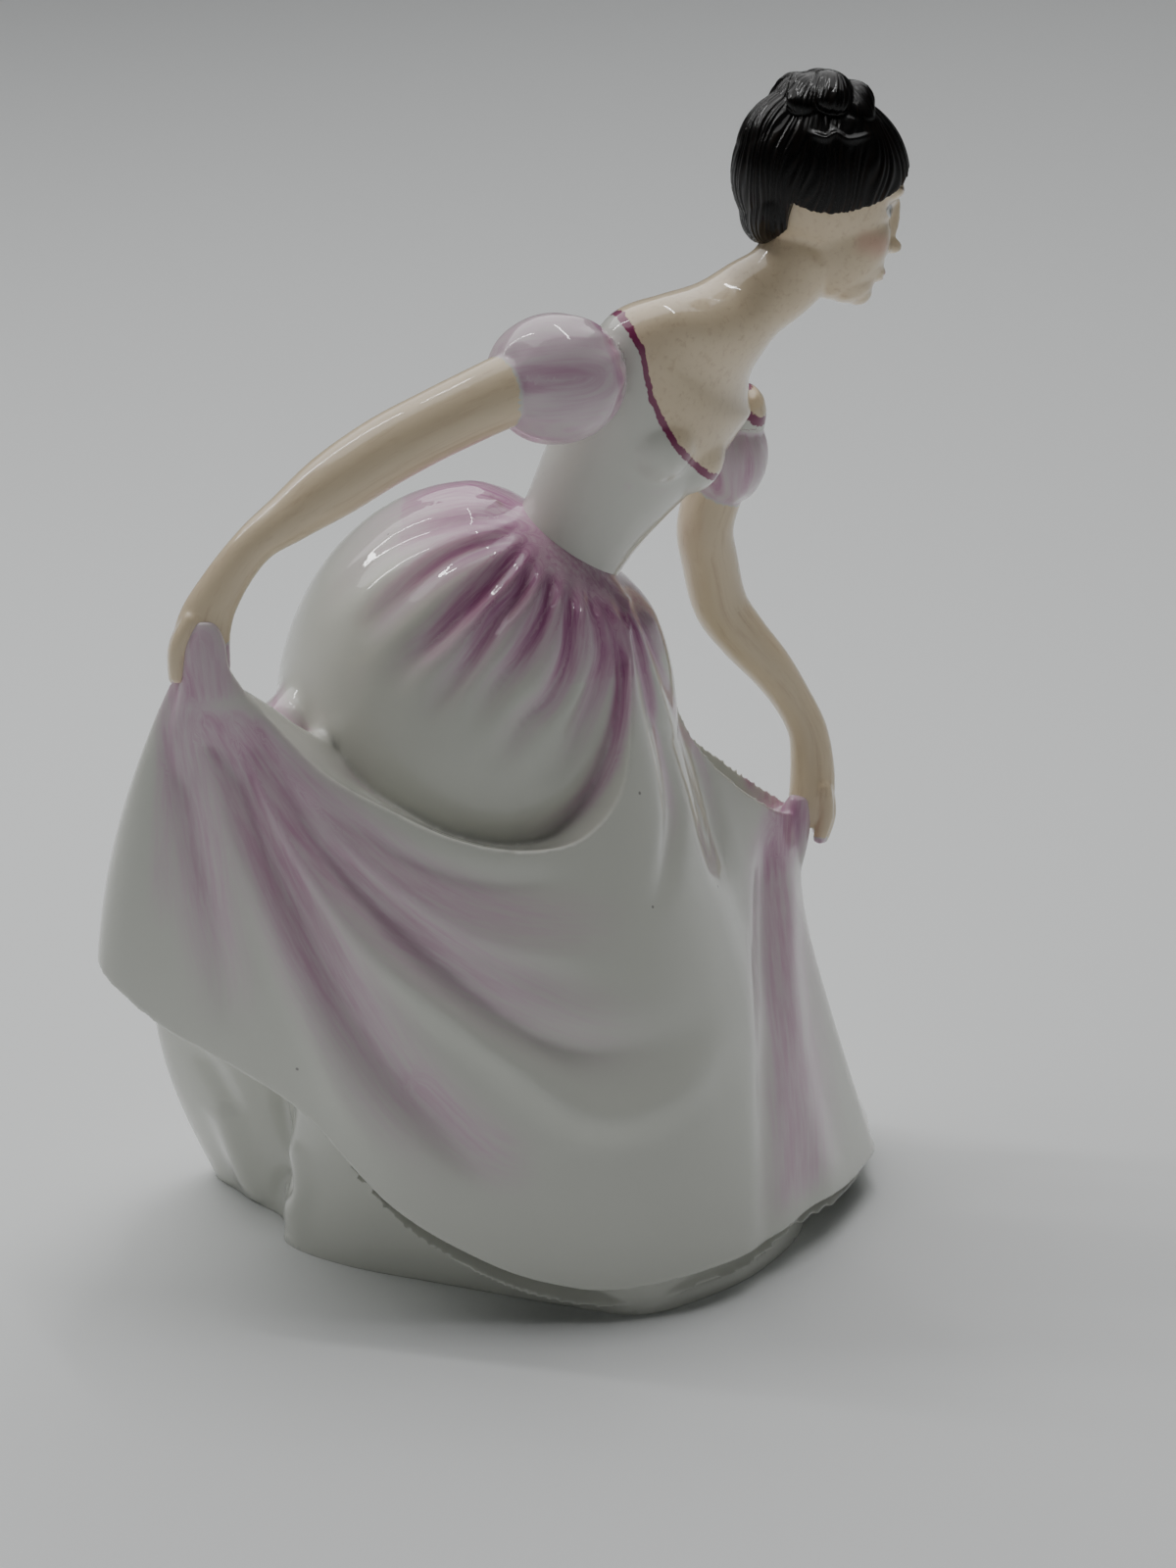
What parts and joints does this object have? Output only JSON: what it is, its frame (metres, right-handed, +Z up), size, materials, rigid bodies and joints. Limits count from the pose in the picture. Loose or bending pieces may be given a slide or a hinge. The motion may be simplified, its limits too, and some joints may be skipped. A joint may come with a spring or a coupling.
{
  "type": "porcelain lady figurine",
  "caption": "Slip-cast glazed porcelain figure of a dancer bowing forward with her skirt held out in both hands, standing on a flat underside.",
  "frame": {"origin": "the middle of the flat underside that the figure stands on", "axes": "+Z up, +X the way the lady faces and bows, +Y towards her left arm; the picture looks along +Y from the side of her right arm"},
  "size_m": [0.1285, 0.1003, 0.195],
  "materials": {
    "glazed_china": "gloss glaze over painted bone china: white body, mauve and pink sprays, cream skin, black hair"
  },
  "bodies": {
    "root": {"figurine": "glazed_china"}
  },
  "joints": []
}
